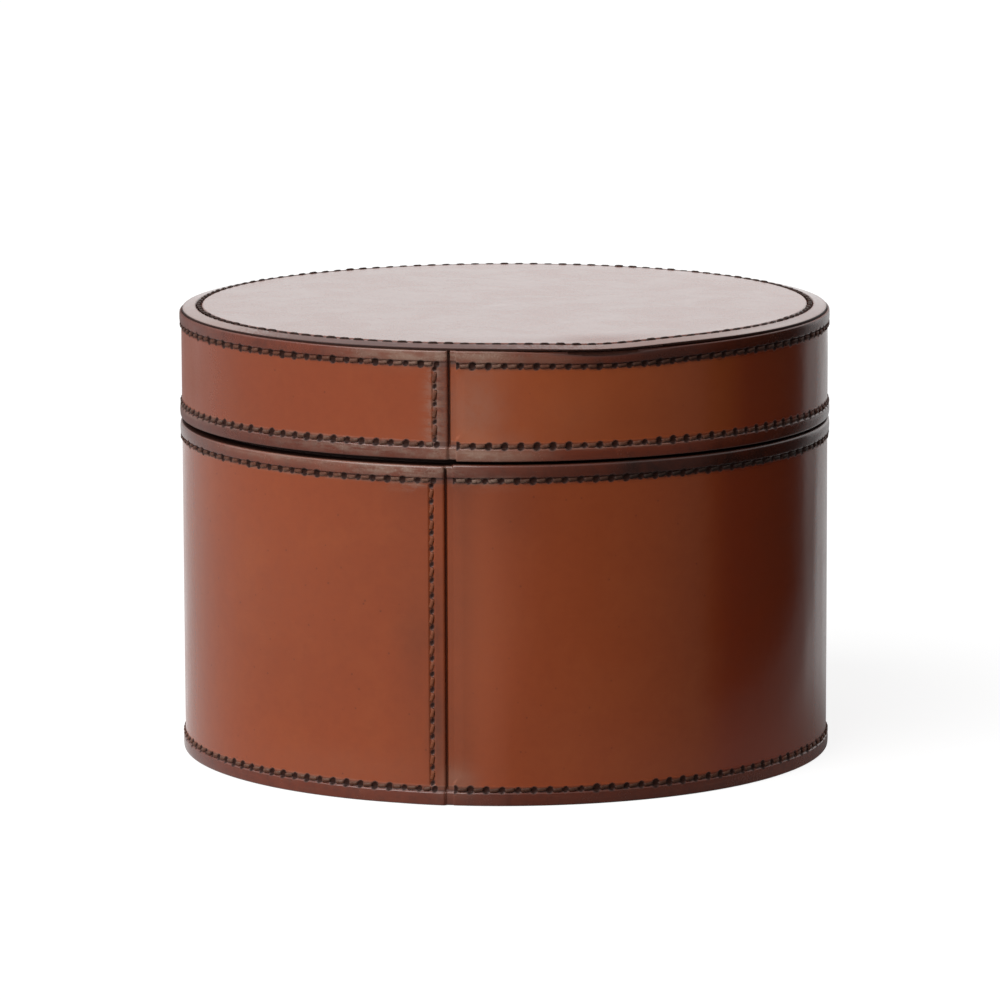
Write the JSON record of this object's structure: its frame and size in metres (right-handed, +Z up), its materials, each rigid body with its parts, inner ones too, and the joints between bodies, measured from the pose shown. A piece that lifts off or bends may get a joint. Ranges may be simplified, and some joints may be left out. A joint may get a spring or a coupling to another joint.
{
  "type": "stationery box",
  "caption": "Round hand-stitched leather box for papers and keepsakes, with a lift-off lid that lies flush with its sides on an inner collar.",
  "frame": {"origin": "centre of the flat foot, on the surface that the box stands on", "axes": "+Z up along the box's round axis; -Y towards the viewer, with the upright seams just left of it; +X to the viewer's right"},
  "size_m": [0.202, 0.202, 0.1388],
  "materials": {
    "side_leather": "glossy waxed orange-brown leather with darker burnished margins",
    "disc_leather": "glossy waxed orange-brown leather with a dark painted edge",
    "thread": "waxed dark brown linen thread",
    "board": "plain bent wood and board",
    "lining": "thin matt brown suede"
  },
  "bodies": {
    "box": {"body_side_wrap": "side_leather", "body_core_hoop": "board", "base_board": "board", "base_leather": "disc_leather", "collar_hoop": "board", "collar_cover": "lining", "body_wall_lining": "lining", "body_floor_lining": "lining", "body_rim_thread": "thread", "body_foot_thread": "thread", "body_seam_thread": "thread", "base_ring_thread": "thread"},
    "lid": {"lid_top_leather": "disc_leather", "lid_top_board": "board", "lid_core_hoop": "board", "lid_side_wrap": "side_leather", "lid_wall_lining": "lining", "lid_top_lining": "lining", "lid_top_thread": "thread", "lid_shoulder_thread": "thread", "lid_rim_thread": "thread", "lid_seam_thread": "thread"}
  },
  "joints": [
    {"name": "lid_lift", "type": "slide", "parent": "box", "child": "lid", "axis": [0, 0, 1], "range_m": [0, 0.15]}
  ]
}
